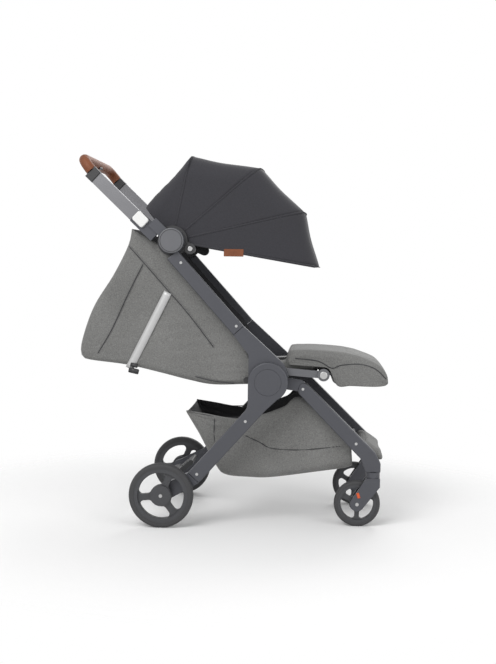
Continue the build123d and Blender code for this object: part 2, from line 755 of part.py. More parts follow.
def make_backrest():
    end = along(RECLINE, BACK_ANGLE, BACK_LENGTH)
    with BuildPart() as board:
        with BuildSketch(Plane.XZ.offset(-BACK_HALF_WIDTH)):
            beam(RECLINE, end, BOARD)
            disc(RECLINE, CROSS_TUBE_RADIUS + 5)
            disc(RECLINE, CROSS_TUBE_RADIUS + RUN, Mode.SUBTRACT)
        extrude(amount=2 * BACK_HALF_WIDTH)
        with BuildSketch(Plane.XZ.offset(-SEAT_HALF_WIDTH - 2)):
            with Locations(along(RECLINE, 60, 20)):
                Rectangle(60, 34, rotation=60)
        extrude(amount=2 * SEAT_HALF_WIDTH + 4, mode=Mode.SUBTRACT)
    save(board, "backrest_board")
    rise = -BOARD / 2 - PAD / 2 - 0.4
    with BuildPart() as pad:
        with BuildSketch(Plane.XZ.offset(-BACK_HALF_WIDTH + 8)):
            bar(along(RECLINE, BACK_ANGLE, 60, rise), along(end, BACK_ANGLE, -16, rise), PAD)
        extrude(amount=2 * BACK_HALF_WIDTH - 16)
    save(pad, "backrest_pad")


def shell_outline():
    """Side profile of the seat fabric between the side tubes and the backrest."""
    foot = along(RECLINE, BACK_ANGLE, 34, BACK_LIFT)
    return (
        along(TUBE_TOP, TUBE_ANGLE, 10),
        along(TUBE_TOP, TUBE_ANGLE, TUBE_LENGTH + 20),
        foot,
        along(RECLINE, BACK_ANGLE, BACK_LENGTH * 0.5, BACK_LIFT + 14),
        along(RECLINE, BACK_ANGLE, BACK_LENGTH + 10, BACK_LIFT - 2),
        along(RECLINE, BACK_ANGLE, BACK_LENGTH + 44, BACK_LIFT - 12),
        along(RECLINE, BACK_ANGLE, BACK_LENGTH + 40, -30),
        (-352, 712),
        (-306, 800),
        (-292, 842),
    )


def make_seat_shell():
    """Fabric sides of the seat and the curtain that closes it behind."""
    outer = shell_outline()[5:]
    inner = [(x + 1.5 * FABRIC, z) for x, z in reversed(outer)]
    with BuildPart() as shell:
        for name, side in SIDES:
            with BuildSketch(side_plane(side, SHELL_Y - FABRIC)):
                with BuildLine():
                    Polyline(*shell_outline(), close=True)
                make_face()
            extrude(amount=outward(side, FABRIC))
        with BuildSketch(Plane.XZ.offset(-SHELL_Y + FABRIC)):
            with BuildLine():
                Polyline(*outer, *inner, close=True)
            make_face()
        extrude(amount=2 * (SHELL_Y - FABRIC))
    save(shell, "seat_shell")


def make_recline_strap():
    """Buckle of the recline strap, with the webbing that holds it to the backrest board."""
    web = along(RECLINE, BACK_ANGLE, BACK_LENGTH * 0.8, BOARD / 2 + GAP)
    start = along(RECLINE, BACK_ANGLE, BACK_LENGTH * 0.8, BACK_LIFT + 12)
    with BuildPart() as buckle:
        with BuildSketch(Plane.XZ.offset(-STRAP_HALF_WIDTH)):
            beam(along(start, BACK_ANGLE, -17), along(start, BACK_ANGLE, 17), 8)
            beam(web, start, 3)
        extrude(amount=2 * STRAP_HALF_WIDTH)
    save(buckle, "recline_buckle")


def make_harness(start, angle):
    """Buckle of the harness, lying on the seat cushion."""
    lift = BOARD / 2 + PAD + 1
    foot = along(start, angle, BUCKLE_FORWARD, lift)
    with BuildPart() as buckle:
        with BuildSketch(Plane.XZ.offset(-BUCKLE_WIDTH / 2)):
            beam(foot, along(foot, angle, 0, BUCKLE_THICKNESS), BUCKLE_LENGTH)
        extrude(amount=BUCKLE_WIDTH)
        fillet(buckle.edges(), 3)
    save(buckle, "harness_buckle")


LEGREST_LENGTH = 172


def make_legrest():
    """Leg rest board on the cross tube, with its cushion."""
    direction = -4
    end = along(LEGREST_HINGE, direction, LEGREST_LENGTH - 16)
    with BuildPart() as board:
        with BuildSketch(Plane.XZ.offset(-LEGREST_HALF_WIDTH)):
            disc(LEGREST_HINGE, CROSS_TUBE_RADIUS + 5)
            beam(along(LEGREST_HINGE, direction, 8), end, BOARD)
            disc(LEGREST_HINGE, CROSS_TUBE_RADIUS + RUN, Mode.SUBTRACT)
        extrude(amount=2 * LEGREST_HALF_WIDTH)
    save(board, "legrest_board")
    with BuildPart() as cushion:
        with BuildSketch(Plane.XZ.offset(-LEGREST_HALF_WIDTH)):
            rounded(
                (
                    (LEGREST_HINGE[0] + 22, LEGREST_HINGE[1] + 56),
                    (LEGREST_HINGE[0] + 72, LEGREST_HINGE[1] + 56),
                    (LEGREST_HINGE[0] + 150, LEGREST_HINGE[1] + 30),
                    (LEGREST_HINGE[0] + 184, LEGREST_HINGE[1] - 4),
                    (LEGREST_HINGE[0] + 180, LEGREST_HINGE[1] - 28),
                    (LEGREST_HINGE[0] + 22, LEGREST_HINGE[1] - 32),
                ),
                (12, 40, 30, 8, 12, 12),
            )
            beam(LEGREST_HINGE, along(end, direction, 1), BOARD + 0.8, Mode.SUBTRACT)
        extrude(amount=2 * LEGREST_HALF_WIDTH)
    save(cushion, "legrest_cushion")


def make_legrest_button(name, side):
    with BuildPart() as button:
        with BuildSketch(side_plane(side, RAIL_Y[1] + 5)):
            disc(LEGREST_HINGE, LEGREST_BUTTON_RADIUS)
        extrude(amount=outward(side, 7))
        face = button.faces().sort_by(Axis.Y)[0 if side < 0 else -1]
        fillet(face.edges(), 2)
    save(button, f"legrest_button_{name}")


# Basket

BASKET_Y = FRONT_LEG_Y[0] - SOFT_GAP


def make_basket():
    """Open-topped fabric basket between the front and rear legs."""
    outline = (
        (-136, 322),
        (20, 300),
        (90, 316),
        (208, 364),
        (348, 224),
        (352, 166),
        (250, 146),
        (118, 126),
        (-20, 130),
        (-44, 152),
    )
    with BuildPart() as basket:
        with BuildSketch(Plane.XZ.offset(-BASKET_Y)):
            with BuildLine():
                Polyline(*outline, close=True)
            make_face()
        extrude(amount=2 * BASKET_Y)
        with BuildSketch(Plane.XZ.offset(-BASKET_Y + FABRIC)):
            with BuildLine():
                Polyline(
                    (-150, 345),
                    (-132, 316),
                    (-42, 156),
                    (-19, 133),
                    (118, 129),
                    (249, 149),
                    (349, 169),
                    (345, 222),
                    (206, 361),
                    (206, 380),
                    close=True,
                )
            make_face()
        extrude(amount=2 * (BASKET_Y - FABRIC), mode=Mode.SUBTRACT)
    save(basket, "basket")


# Canopy


def bow_layer(number):
    """Outer distance from the middle of one bow's arms."""
    return BOW_OUTER_Y - number * (BOW_THICKNESS + 0.5)


def make_bow(number):
    """Hoop whose arms turn about the handle hinge."""
    angle, reach = BOWS[number]
    outer = bow_layer(number)
    with BuildPart() as bow:
        for name, side in SIDES:
            with BuildSketch(side_plane(side, outer - BOW_THICKNESS)):
                disc(HINGE, 9)
                beam(HINGE, along(HINGE, angle, reach - BOW_DROP), BOW_WIDTH)
                disc(HINGE, 4 + RUN, Mode.SUBTRACT)
            extrude(amount=outward(side, BOW_THICKNESS))
        with BuildSketch(Plane.XZ.offset(-outer)):
            top = along(HINGE, angle, reach - BOW_DROP)
            beam(along(HINGE, angle, reach - BOW_DROP - BOW_THICKNESS), top, BOW_WIDTH)
        extrude(amount=2 * outer)
    save(bow, f"canopy_bow_{number + 1}")


def make_canopy_panel(number):
    """Fabric between one bow and the next, with both of its sides."""
    start_angle, start_reach = BOWS[number]
    end_angle, end_reach = BOWS[number + 1]
    near = DISC_RADIUS + 24
    lead = 0.9
    points = (
        along(HINGE, start_angle - lead, near),
        along(HINGE, start_angle - lead, start_reach),
        along(HINGE, end_angle + lead, end_reach),
        along(HINGE, end_angle + lead, near),
    )
    inner = (
        along(HINGE, start_angle + 6, near - 30),
        along(HINGE, start_angle + 6, start_reach - FABRIC - 1),
        along(HINGE, start_angle - lead, start_reach - FABRIC),
        along(HINGE, end_angle + lead, end_reach - FABRIC),
        along(HINGE, end_angle - 6, end_reach - FABRIC - 1),
        along(HINGE, end_angle - 6, near - 30),
    )
    with BuildPart() as panel:
        with BuildSketch(Plane.XZ.offset(-CANOPY_Y)):
            with BuildLine():
                Polyline(*points, close=True)
            make_face()
        extrude(amount=2 * CANOPY_Y)
        with BuildSketch(Plane.XZ.offset(-CANOPY_Y + FABRIC)):
            with BuildLine():
                Polyline(*inner, close=True)
            make_face()
        extrude(amount=2 * (CANOPY_Y - FABRIC), mode=Mode.SUBTRACT)
    save(panel, f"canopy_panel_{number + 1}")


def make_canopy_flap():
    """Rear flap of the canopy from the first bow down to the side tubes."""
    angle, reach = BOWS[0]
    with BuildPart() as flap:
        outer = (
            along(HINGE, angle + 1.2, 60),
            along(HINGE, angle + 1.2, reach),
            along(HINGE, 97, 205),
            along(HINGE, 116, 158),
            along(HINGE, 133, 128),
            along(HINGE, 133, 60),
        )
        with BuildSketch(Plane.XZ.offset(-CANOPY_Y)):
            with BuildLine():
                Polyline(*outer, close=True)
            make_face()
        extrude(amount=2 * CANOPY_Y)
        inner = (
            along(HINGE, angle - 8, 20),
            along(HINGE, angle - 8, reach - FABRIC - 3),
            along(HINGE, angle + 1.2, reach - FABRIC - 1),
            along(HINGE, 97, 205 - FABRIC),
            along(HINGE, 116, 158 - FABRIC),
            along(HINGE, 132, 128 - FABRIC),
            along(HINGE, 150, 128),
            along(HINGE, 150, 20),
        )
        with BuildSketch(Plane.XZ.offset(-CANOPY_Y + FABRIC)):
            with BuildLine():
                Polyline(*inner, close=True)
            make_face()
        extrude(amount=2 * (CANOPY_Y - FABRIC), mode=Mode.SUBTRACT)
    save(flap, "canopy_flap")


def make_rear_frame():
    make_rear_legs()
    make_hub_caps()
    make_axle_housings()
    make_rear_axle()
    make_rear_small_parts()
    make_brake_pedal()
    make_basket()


def make_front_frame():
    make_front_legs()
    make_sockets()
    for name, side in SIDES:
        make_caster_fork(name, side)
        make_front_axle(name, side)
    make_foot_panel()
    make_front_small_parts()


def make_upper_frame():
    make_side_tubes()
    make_hub_casings()
    make_seat_rails()
    make_upper_small_parts()
    start, end, angle = make_seat()
    make_harness(start, angle)
    make_backrest()
    make_seat_shell()
    make_recline_strap()
    make_legrest()
    for name, side in SIDES:
        make_legrest_button(name, side)


def make_handle():
    make_handle_sections()
    make_hinge_caps()
    make_sliders()
    make_connectors()
    make_grip()
    make_fold_button()
    for name, side in SIDES:
        make_lock_lever(name, side)


def make_canopy():
    for number in range(len(BOWS)):
        make_bow(number)
    for number in range(len(BOWS) - 1):
        make_canopy_panel(number)
    make_canopy_flap()


make_wheels()
make_rear_frame()
make_front_frame()
make_upper_frame()
make_handle()
make_canopy()
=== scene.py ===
import json
from math import cos, pi, radians, sin

import bmesh
import bpy
from bpy.props import FloatProperty, FloatVectorProperty, PointerProperty
from bpy.types import Operator, Panel, PropertyGroup
from mathutils import Matrix, Vector


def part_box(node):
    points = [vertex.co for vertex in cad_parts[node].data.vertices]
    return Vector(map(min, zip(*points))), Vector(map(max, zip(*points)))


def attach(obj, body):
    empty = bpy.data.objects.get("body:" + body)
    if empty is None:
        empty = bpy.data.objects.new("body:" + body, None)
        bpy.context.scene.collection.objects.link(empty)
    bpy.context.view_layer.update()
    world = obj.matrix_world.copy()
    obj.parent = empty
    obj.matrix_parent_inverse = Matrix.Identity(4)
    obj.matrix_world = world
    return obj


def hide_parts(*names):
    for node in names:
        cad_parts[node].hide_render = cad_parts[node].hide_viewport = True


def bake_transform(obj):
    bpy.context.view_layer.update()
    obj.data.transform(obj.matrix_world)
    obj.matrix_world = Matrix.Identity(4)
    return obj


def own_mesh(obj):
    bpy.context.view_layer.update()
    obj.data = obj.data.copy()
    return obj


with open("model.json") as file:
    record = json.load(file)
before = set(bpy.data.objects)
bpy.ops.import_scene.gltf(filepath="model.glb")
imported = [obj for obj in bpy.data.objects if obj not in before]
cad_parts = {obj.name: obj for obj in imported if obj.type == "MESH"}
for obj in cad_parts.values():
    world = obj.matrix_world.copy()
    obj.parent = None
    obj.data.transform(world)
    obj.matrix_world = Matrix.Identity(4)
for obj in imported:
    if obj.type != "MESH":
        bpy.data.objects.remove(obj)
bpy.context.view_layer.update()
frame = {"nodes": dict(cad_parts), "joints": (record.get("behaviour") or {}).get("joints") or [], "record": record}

bl_info = {
    "name": "Compact Stroller",
    "version": (1, 0, 0),
    "blender": (4, 5, 0),
    "location": "View3D > Sidebar > Stroller",
    "description": "Fabric, padding, trim and finishes of a compact folding stroller",
    "category": "Object",
}

JOINTS = {joint["name"]: joint for joint in frame["joints"]}
SLOTS = {part["node"]: part["material_slot"] for part in frame["record"]["subparts"]}
HINGE = Vector(JOINTS["handle_fold"]["pos_m"])
HUB = Vector(JOINTS["frame_fold"]["pos_m"])

SIDES = (("right", -1), ("left", 1))

# Cloth runs this far inside the side of the solid that it replaces, in metres
CLOTH_INSET = 0.0015
CANOPY_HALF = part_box("canopy_flap")[1].y - CLOTH_INSET
SEAT_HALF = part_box("seat_shell")[1].y - 0.001

# Canopy bows: the angle about the handle hinge in degrees and the reach in metres
BOWS = ((79.0, 0.2475), (41.0, 0.3215), (13.3, 0.3795), (-9.4, 0.4175))
# The rear flap's outline, in the same measures
FLAP = (
    (79.0, 0.2475), (84.5, 0.210), (90.0, 0.186), (96.0, 0.168), (107.0, 0.148),
    (119.0, 0.135), (131.0, 0.127),
)
# Distances from the hinge axis at which the bows, the cloth and the seams begin
BOW_START = 0.012
GORE_START = 0.036
SEAM_START = 0.038
BOW_DEPTH = 0.0048
GORE_DIP = 0.004
SEAM_LIFT = 0.0009


# Settings


class StrollerSizes(PropertyGroup):
    cloth_thickness: FloatProperty(
        name="Cloth", description="Thickness of the cloth", default=0.0014, unit="LENGTH"
    )
    pad_swell: FloatProperty(
        name="Pad swell", description="How far a point of a pad may move as it fills", default=0.007,
        unit="LENGTH",
    )
    stitch_pitch: FloatProperty(
        name="Stitch pitch", description="Distance from one stitch to the next", default=0.0045,
        unit="LENGTH",
    )


class StrollerColours(PropertyGroup):
    melange: FloatVectorProperty(
        name="Seat cloth", description="Grey melange cloth", default=(0.165, 0.165, 0.16),
        subtype="COLOR", size=3, min=0.0, max=1.0,
    )
    canopy: FloatVectorProperty(
        name="Canopy cloth", description="Cloth of the canopy", default=(0.026, 0.0255, 0.031),
        subtype="COLOR", size=3, min=0.0, max=1.0,
    )
    leather: FloatVectorProperty(
        name="Leather", description="Grip and patch", default=(0.17, 0.052, 0.018),
        subtype="COLOR", size=3, min=0.0, max=1.0,
    )
    frame_coat: FloatVectorProperty(
        name="Frame", description="Powder coat of the frame", default=(0.07, 0.072, 0.083),
        subtype="COLOR", size=3, min=0.0, max=1.0,
    )


# Finishes

FINISHES = {}


def unwrap(value):
    return value.socket if isinstance(value, Wire) else value


class Wire:
    """One output socket, with the arithmetic that adds Math nodes to its tree."""

    def __init__(self, tree, socket):
        self.tree = tree
        self.socket = socket

    def math(self, operation, *values):
        return make_node(self.tree, "ShaderNodeMath", {"operation": operation}, values)

    def __add__(self, other):
        return self.math("ADD", self, other)

    def __radd__(self, other):
        return self.math("ADD", other, self)

    def __sub__(self, other):
        return self.math("SUBTRACT", self, other)

    def __rsub__(self, other):
        return self.math("SUBTRACT", other, self)

    def __mul__(self, other):
        return self.math("MULTIPLY", self, other)

    def __rmul__(self, other):
        return self.math("MULTIPLY", other, self)


def make_node(tree, kind, settings=None, values=(), output=0):
    """A node with its settings made first, then its sockets filled by place or by name."""
    node = tree.nodes.new(kind)
    for name, value in (settings or {}).items():
        setattr(node, name, value)
    pairs = values.items() if isinstance(values, dict) else enumerate(values)
    for key, value in pairs:
        value = unwrap(value)
        if isinstance(value, bpy.types.NodeSocket):
            tree.links.new(value, node.inputs[key])
        else:
            node.inputs[key].default_value = value
    return Wire(tree, node.outputs[output]) if len(node.outputs) else node


class Finish:
    """A material whose pattern is worked out from Object coordinates."""

    def __init__(self, name):
        self.material = bpy.data.materials.new(name)
        self.material.use_nodes = True
        self.tree = self.material.node_tree
        self.tree.nodes.clear()
        self.place = self.node("ShaderNodeTexCoord", output=3)

    def node(self, kind, settings=None, values=(), output=0):
        return make_node(self.tree, kind, settings, values, output)

    def noise(self, scale, detail=3.0, roughness=0.55):
        values = {"Vector": self.place, "Scale": scale, "Detail": detail, "Roughness": roughness}
        return self.node("ShaderNodeTexNoise", None, values)

    def mix(self, factor, low, high):
        values = {0: factor, 6: (*low, 1.0), 7: (*high, 1.0)}
        return self.node("ShaderNodeMix", {"data_type": "RGBA"}, values, 2)

    def close(self, colour, roughness, height=None, depth=0.0002, **constants):
        values = {"Base Color": colour, "Roughness": roughness}
        if height is not None:
            values["Normal"] = self.node(
                "ShaderNodeBump", None, {"Height": height, "Distance": depth, "Strength": 1.0}
            )
        for key, value in constants.items():
            values[key.replace("_", " ").title().replace("Ior", "IOR")] = value
        shader = self.node("ShaderNodeBsdfPrincipled", None, values)
        self.node("ShaderNodeOutputMaterial", None, {"Surface": shader})
        return self.material


def shade(colour, factor):
    return tuple(min(1.0, channel * factor) for channel in colour)


def woven(name, colour, contrast, pitch=0.0011, sheen=0.15):
    """Cloth whose threads differ in tone, as a melange does."""
    finish = Finish(name)
    threads = finish.noise(0.9 / pitch, 2.0, 0.6)
    fleck = finish.noise(0.3 / pitch, 3.0, 0.75)
    soft = finish.noise(7.0, 4.0)
    tone = fleck * 0.45 + threads * 0.37 + soft * 0.18
    ramp = finish.node(
        "ShaderNodeMapRange", None,
        {"Value": tone, "From Min": 0.36, "From Max": 0.64, "To Min": 0.0, "To Max": 1.0},
    )
    cloth = finish.mix(ramp, shade(colour, 1.0 - contrast), shade(colour, 1.0 + contrast))
    rough = soft * 0.12 + 0.8
    return finish.close(
        cloth, rough, threads * 0.6 + fleck * 0.4, 0.0003, sheen_weight=sheen, sheen_roughness=0.5
    )


def grained_leather(name, colour):
    """Smooth brown leather with a fine grain and darker creases."""
    finish = Finish(name)
    cells = finish.node(
        "ShaderNodeTexVoronoi", {"feature": "DISTANCE_TO_EDGE"}, {"Vector": finish.place, "Scale": 620.0}
    )
    grain = cells.math("MINIMUM", cells * 6.0, 1.0)
    cloud = finish.noise(38.0, 5.0)
    tone = cloud * 0.75 + grain * 0.25
    skin = finish.mix(tone, shade(colour, 0.5), shade(colour, 1.55))
    return finish.close(skin, 0.66 - cloud * 0.16, grain, 0.00006, specular_ior_level=0.4)


def moulded(name, colour, roughness=0.5, grain=0.00008, spread=0.12, **constants):
    """Moulded plastic or powder coat with a fine texture."""
    finish = Finish(name)
    pebble = finish.noise(2600.0, 2.0)
    cloud = finish.noise(14.0, 4.0)
    tint = finish.mix(cloud, shade(colour, 1.0 - spread), shade(colour, 1.0 + spread))
    return finish.close(tint, cloud * 0.14 + (roughness - 0.07), pebble, grain, **constants)


def brushed(name, colour, roughness=0.34):
    """Anodised or plated metal with a faint grain."""
    finish = Finish(name)
    grain = finish.noise(3200.0, 2.0)
    cloud = finish.noise(20.0, 3.0)
    tint = finish.mix(cloud, shade(colour, 0.9), shade(colour, 1.06))
    return finish.close(tint, grain * 0.1 + (roughness - 0.05), grain, 0.00003, metallic=0.85)


def tyre(name, colour):
    """Foam tyre, with dust in its fine texture."""
    finish = Finish(name)
    speck = finish.noise(900.0, 3.0, 0.7)
    cloud = finish.noise(22.0, 4.0)
    tint = finish.mix(speck * 0.5 + cloud * 0.5, shade(colour, 0.8), shade(colour, 1.35))
    return finish.close(tint, cloud * 0.12 + 0.68, speck, 0.0002)


class STROLLER_OT_finishes(Operator):
    """Make every finish and give the frame's own parts theirs"""

    bl_idname = "stroller.finishes"
    bl_label = "Finishes"

    def execute(self, context):
        colours = context.scene.stroller_colours
        melange = tuple(colours.melange)
        coat = tuple(colours.frame_coat)
        FINISHES.update(
            grey_fabric=woven("melange cloth", melange, 0.42),
            dark_fabric=woven("lining cloth", (0.03, 0.03, 0.033), 0.3),
            black_fabric=woven("canopy cloth", tuple(colours.canopy), 0.3, 0.0008, 0.08),
            piping=woven("piping tape", (0.035, 0.035, 0.038), 0.25, 0.0008),
            reflective=moulded("reflective tape", (0.5, 0.5, 0.5), 0.42, 0.00012, 0.06, metallic=0.35),
            leather=grained_leather("brown leather", tuple(colours.leather)),
            frame_coat=moulded("frame coat", coat, 0.42, 0.00003, 0.05, metallic=0.25),
            silver=brushed("anodised tube", (0.2, 0.2, 0.21)),
            steel=brushed("plated steel", (0.5, 0.5, 0.5), 0.3),
            black_plastic=moulded("black plastic", (0.028, 0.028, 0.03), 0.48),
            grey_plastic=moulded("grey plastic", (0.12, 0.122, 0.132), 0.45),
            white_plastic=moulded("white plastic", (0.78, 0.78, 0.77), 0.35, 0.00002, 0.03),
            orange_plastic=moulded("orange plastic", (0.62, 0.09, 0.02), 0.4, 0.00003, 0.05),
            wheel_plastic=moulded("wheel plastic", (0.045, 0.046, 0.05), 0.5),
            rubber=tyre("foam tyre", (0.04, 0.04, 0.042)),
            dark_thread=moulded("dark thread", (0.09, 0.09, 0.1), 0.8, 0.00002, 0.1),
        )
        for name, node in frame["nodes"].items():
            finish = FINISHES.get(SLOTS[name], FINISHES["frame_coat"])
            node.data.materials.clear()
            node.data.materials.append(finish)
        return {"FINISHED"}


# Shapes


def finish_mesh(name, points, faces, material, smooth=True):
    """A piece at the origin with its doubles merged and its faces outwards."""
    mesh = bpy.data.meshes.new(name)
    mesh.from_pydata([tuple(point) for point in points], [], faces)
    work = bmesh.new()
    work.from_mesh(mesh)
    bmesh.ops.remove_doubles(work, verts=work.verts, dist=0.00002)
    bmesh.ops.recalc_face_normals(work, faces=work.faces)
    for face in work.faces:
        face.smooth = smooth
    work.to_mesh(mesh)
    work.free()
    mesh.materials.append(material)
    piece = bpy.data.objects.new(name, mesh)
    bpy.context.scene.collection.objects.link(piece)
    return piece


def grid_faces(rows, columns, close_rows=False, close_columns=False):
    faces = []
    for i in range(rows if close_rows else rows - 1):
        for j in range(columns if close_columns else columns - 1):
            k, m = (i + 1) % rows, (j + 1) % columns
            faces.append((i * columns + j, i * columns + m, k * columns + m, k * columns + j))
    return faces


def apply_modifiers(piece):
    """Turn the evaluated shape into the piece's plain mesh."""
    graph = bpy.context.evaluated_depsgraph_get()
    mesh = bpy.data.meshes.new_from_object(piece.evaluated_get(graph))
    piece.modifiers.clear()
    piece.data = mesh
    for face in mesh.polygons:
        face.use_smooth = True
    return piece


def fabric(name, rows, material, thickness):
    """A thin closed sheet through rows of points."""
    points = [point for row in rows for point in row]
    piece = finish_mesh(name, points, grid_faces(len(rows), len(rows[0])), material)
    wall = piece.modifiers.new("wall", "SOLIDIFY")
    wall.thickness = thickness
    wall.offset = 0.0
    return apply_modifiers(piece)


def curve(points, count):
    """Evenly spread points on a smooth line through a few points."""
    substeps = 12
    padded = [points[0], *points, points[-1]]
    dense = []
    for k in range(1, len(padded) - 2):
        a, b, c, d = (Vector(padded[k + step]) for step in (-1, 0, 1, 2))
        for step in range(substeps):
            t = step / substeps
            dense.append(
                0.5 * (2 * b + (c - a) * t + (2 * a - 5 * b + 4 * c - d) * t * t
                       + (3 * b - a - 3 * c + d) * t * t * t)
            )
    dense.append(Vector(points[-1]))
    lengths = [0.0]
    for a, b in zip(dense, dense[1:]):
        lengths.append(lengths[-1] + (b - a).length)
    result = []
    k = 0
    for i in range(count):
        want = lengths[-1] * i / (count - 1)
        while k < len(dense) - 2 and lengths[k + 1] < want:
            k += 1
        part = (want - lengths[k]) / max(1e-9, lengths[k + 1] - lengths[k])
        result.append(dense[k].lerp(dense[k + 1], min(1.0, part)))
    return result


def flat(points, y):
    """Profile points (x, z) as points at one y."""
    return [Vector((x, y, z)) for x, z in points]


def tube(name, points, radius, material, sides=10, tall=None, closed=False):
    """Round or oval bead along a line of points."""
    rows = []
    count = len(points)
    for i, point in enumerate(points):
        before = points[(i - 1) % count] if closed else points[max(0, i - 1)]
        after = points[(i + 1) % count] if closed else points[min(count - 1, i + 1)]
        ahead = (Vector(after) - Vector(before)).normalized()
        side = ahead.cross(Vector((0, 1, 0)))
        side = side.normalized() if side.length > 0.2 else ahead.cross(Vector((0, 0, 1))).normalized()
        other = ahead.cross(side).normalized()
        for k in range(sides):
            turn = 2 * pi * k / sides
            rows.append(Vector(point) + side * cos(turn) * radius + other * sin(turn) * (tall or radius))
    faces = grid_faces(count, sides, closed, True)
    if not closed:
        faces += [tuple(range(sides)), tuple((count - 1) * sides + k for k in range(sides))]
    return finish_mesh(name, rows, faces, material)


def join(name, pieces):
    """Several like pieces as one object."""
    work = bmesh.new()
    for piece in pieces:
        work.from_mesh(piece.data)
    mesh = bpy.data.meshes.new(name)
    work.to_mesh(mesh)
    work.free()
    mesh.materials.append(pieces[0].data.materials[0])
    for piece in pieces:
        bpy.data.objects.remove(piece)
    joined = bpy.data.objects.new(name, mesh)
    bpy.context.scene.collection.objects.link(joined)
    for face in mesh.polygons:
        face.use_smooth = True
    return joined


def declare_cloth(rows):
    """Work out a cloth's longest row and longest column; the sizes are not kept."""
    columns = list(zip(*rows))
    width, length = (
        max(sum((b - a).length for a, b in zip(line, line[1:])) for line in lines)
        for lines in (rows, columns)
    )


def settle(piece, body, slot, *nodes):
    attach(piece, body)
    if nodes:
        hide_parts(*nodes)
    return piece


def line_inside(piece, middle, lining):
    """Give the faces that look towards the middle the lining."""
    piece.data.materials.append(lining)
    for face in piece.data.polygons:
        if face.normal.dot(middle - face.center) > 0:
            face.material_index = 1


def slab(centre, length, width, thickness, turn, material="black_plastic", bevel=0.0015):
    """Small moulded plate with rounded edges, flat against the side of the stroller."""
    work = bmesh.new()
    bmesh.ops.create_cube(work, size=1.0)
    bmesh.ops.scale(work, vec=(length, thickness, width), verts=work.verts)
    bmesh.ops.bevel(
        work, geom=list(work.edges), offset=min(bevel, 0.45 * thickness), segments=3, affect="EDGES"
    )
    bmesh.ops.rotate(work, matrix=Matrix.Rotation(radians(-turn), 3, "Y"), verts=work.verts)
    bmesh.ops.translate(work, vec=centre, verts=work.verts)
    mesh = bpy.data.meshes.new("slab")
    work.to_mesh(mesh)
    work.free()
    mesh.materials.append(FINISHES[material])
    piece = bpy.data.objects.new("slab", mesh)
    bpy.context.scene.collection.objects.link(piece)
    return piece


def ring(centre, radius, bead, material):
    """Round bead about a sideways axis."""
    steps = 64
    line = []
    for k in range(steps):
        turn = 2 * pi * k / steps
        line.append(Vector((centre[0] + radius * cos(turn), centre[1], centre[2] + radius * sin(turn))))
    return tube("ring", line, bead, FINISHES[material], 8, closed=True)


def ring_pair(name, centre, y, radius, bead, body):
    """Two black rings, one on each side of the stroller."""
    rings = [ring((centre.x, side * y, centre.z), radius, bead, "black_plastic") for side in (-1, 1)]
    settle(join(name, rings), body, "black_plastic")


# Stitches


def stitch_tree():
    """Small capsules laid end to end along a line, with a gap between them."""
    tree = bpy.data.node_groups.new("Stitches", "GeometryNodeTree")
    face = tree.interface
    face.new_socket("Line", in_out="INPUT", socket_type="NodeSocketGeometry")
    for name, value in (("Pitch", 0.004), ("Length", 0.0028), ("Thickness", 0.0004)):
        face.new_socket(name, in_out="INPUT", socket_type="NodeSocketFloat").default_value = value
    face.new_socket("Thread", in_out="INPUT", socket_type="NodeSocketMaterial")
    face.new_socket("Stitches", in_out="OUTPUT", socket_type="NodeSocketGeometry")
    start = tree.nodes.new("NodeGroupInput")
    line = make_node(tree, "GeometryNodeMeshToCurve", None, {"Mesh": start.outputs["Line"]})
    spaced = make_node(
        tree, "GeometryNodeResampleCurve", {"mode": "LENGTH"},
        {"Curve": line, "Length": start.outputs["Pitch"]},
    )
    points = make_node(tree, "GeometryNodeCurveToPoints", {"mode": "EVALUATED"}, {"Curve": spaced})
    turned = Wire(tree, points.socket.node.outputs["Rotation"])
    thread = make_node(
        tree, "GeometryNodeMeshCylinder", {"fill_type": "TRIANGLE_FAN"},
        {"Vertices": 6, "Radius": start.outputs["Thickness"], "Depth": start.outputs["Length"]},
    )
    placed = make_node(
        tree, "GeometryNodeInstanceOnPoints", None,
        {"Points": points, "Instance": thread, "Rotation": turned},
    )
    real = make_node(tree, "GeometryNodeRealizeInstances", None, {"Geometry": placed})
    dyed = make_node(
        tree, "GeometryNodeSetMaterial", None, {"Geometry": real, "Material": start.outputs["Thread"]}
    )
    end = tree.nodes.new("NodeGroupOutput")
    tree.links.new(dyed.socket, end.inputs["Stitches"])
    return tree


def stitches(name, lines, material, pitch=0.0045, length=0.003, thickness=0.00035):
    """One mesh of stitches that follow each of some lines."""
    mesh = bpy.data.meshes.new(name)
    points, edges = [], []
    for line in lines:
        first = len(points)
        points += [tuple(point) for point in line]
        edges += [(first + k, first + k + 1) for k in range(len(line) - 1)]
    mesh.from_pydata(points, edges, [])
    piece = bpy.data.objects.new(name, mesh)
    bpy.context.scene.collection.objects.link(piece)
    tree = bpy.data.node_groups.get("Stitches") or stitch_tree()
    sewing = piece.modifiers.new("sewing", "NODES")
    sewing.node_group = tree
    wanted = {"Pitch": pitch, "Length": length, "Thickness": thickness, "Thread": material}
    for item in tree.interface.items_tree:
        if item.item_type == "SOCKET" and item.in_out == "INPUT" and item.name in wanted:
            sewing[item.identifier] = wanted[item.name]
    return apply_modifiers(piece)


# Canopy


def reach_between(first, second, angle):
    """Reach at an angle on the straight line between two (angle, reach) ends."""
    (start, near), (end, far) = first, second
    whole = radians(end - start)
    part = radians(angle - start)
    return near * far * sin(whole) / (near * sin(part) + far * sin(whole - part))


